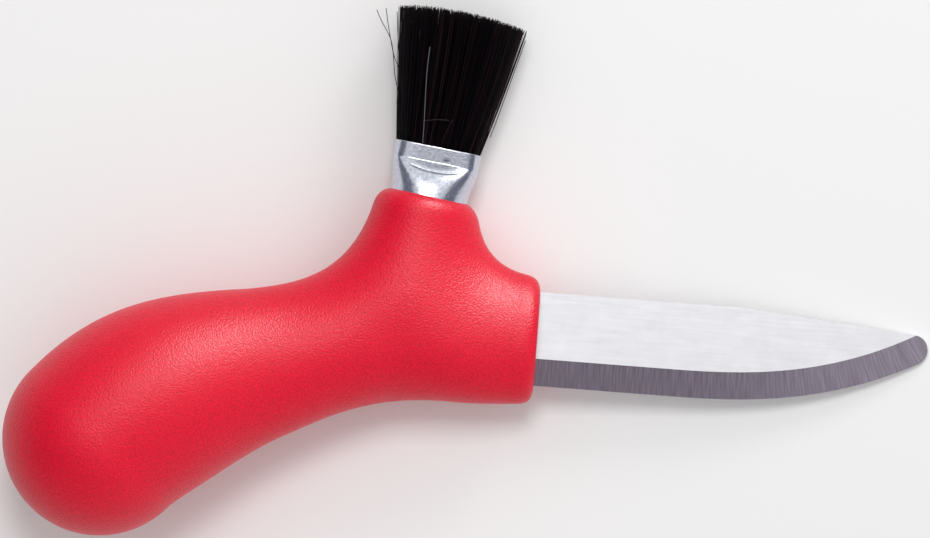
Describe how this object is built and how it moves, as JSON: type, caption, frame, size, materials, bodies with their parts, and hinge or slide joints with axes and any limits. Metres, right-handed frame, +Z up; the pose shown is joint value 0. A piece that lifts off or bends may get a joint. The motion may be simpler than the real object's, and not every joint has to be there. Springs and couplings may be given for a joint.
{
  "type": "mushroom knife",
  "caption": "Mushroom knife with a short curved blade, a ball-ended moulded handle and a small brush set in a stub on the handle.",
  "frame": {"origin": "on the surface that the knife lies on, under the middle of its box", "axes": "+X the way the blade points, +Y the way the brush points, +Z up; the knife lies on its side on its ball end, bristles and blade tip"},
  "size_m": [0.1622, 0.0986, 0.0348],
  "materials": {
    "handle_polypropylene": "red moulded polypropylene with a fine spark-eroded grain",
    "blade_stainless": "satin stainless with a ground bevel",
    "ferrule_plated_steel": "bright plated sheet with pressing marks",
    "bristle_hair": "black hair",
    "setting_resin": "cast amber resin",
    "cured_adhesive": "cured glue"
  },
  "bodies": {
    "root": {"handle": "handle_polypropylene", "blade": "blade_stainless", "brush_ferrule": "ferrule_plated_steel", "bristles": "bristle_hair", "bristle_setting": "setting_resin", "brush_adhesive": "cured_adhesive"}
  },
  "joints": []
}
